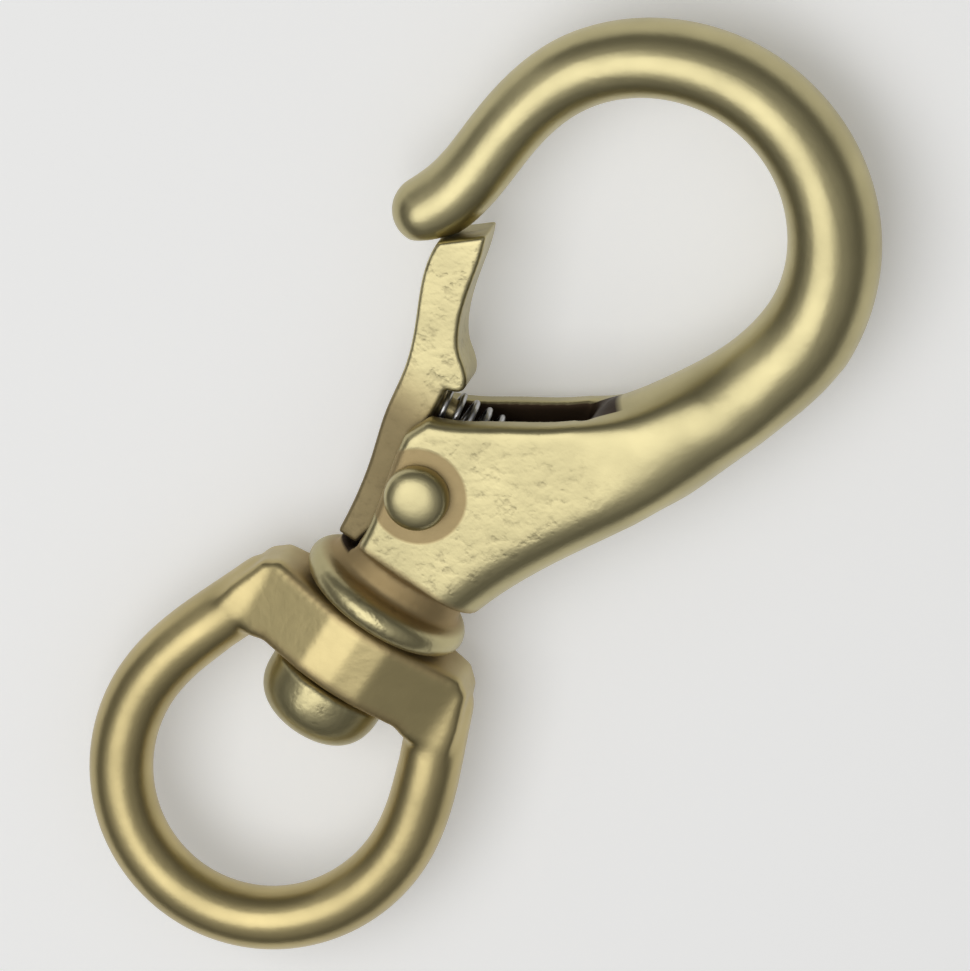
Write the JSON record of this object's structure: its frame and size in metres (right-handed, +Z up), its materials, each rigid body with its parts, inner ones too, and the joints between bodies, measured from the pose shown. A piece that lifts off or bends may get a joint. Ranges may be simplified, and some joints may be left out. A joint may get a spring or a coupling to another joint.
{
  "type": "swivel snap hook",
  "caption": "Cast brass snap hook with a round bow, a sprung gate on a rivet and an oval eye that swivels below a collar.",
  "frame": {"origin": "under the middle of the part, on the surface that it lies on", "axes": "+Y along the swivel axis towards the hook's end, +Z up through the thickness; the gate is on the -X side"},
  "size_m": [0.0369, 0.088, 0.0141],
  "materials": {
    "hook_brass": "satin tumbled casting",
    "gate_brass": "satin casting with small pits",
    "rivet_brass": "satin",
    "spring_steel": "drawn stainless wire",
    "eye_brass": "satin tumbled casting"
  },
  "bodies": {
    "hook": {"hook_body": "hook_brass", "gate_rivet": "rivet_brass", "gate_spring": "spring_steel"},
    "gate": {"gate": "gate_brass"},
    "eye": {"swivel_eye": "eye_brass"}
  },
  "joints": [
    {"name": "gate_pivot", "type": "hinge", "parent": "hook", "child": "gate", "pos_m": [-0.00376, -0.00103, 0.00704], "axis": [0, 0, 1], "range_deg": [-38, 0], "stiffness_Nm_per_rad": 0.08, "springref_deg": 17.19, "deforming": ["gate_spring"]},
    {"name": "eye_swivel", "type": "hinge", "parent": "hook", "child": "eye", "pos_m": [-0.00149, -0.01613, 0.00704], "axis": [0, 1, 0], "continuous": true}
  ]
}
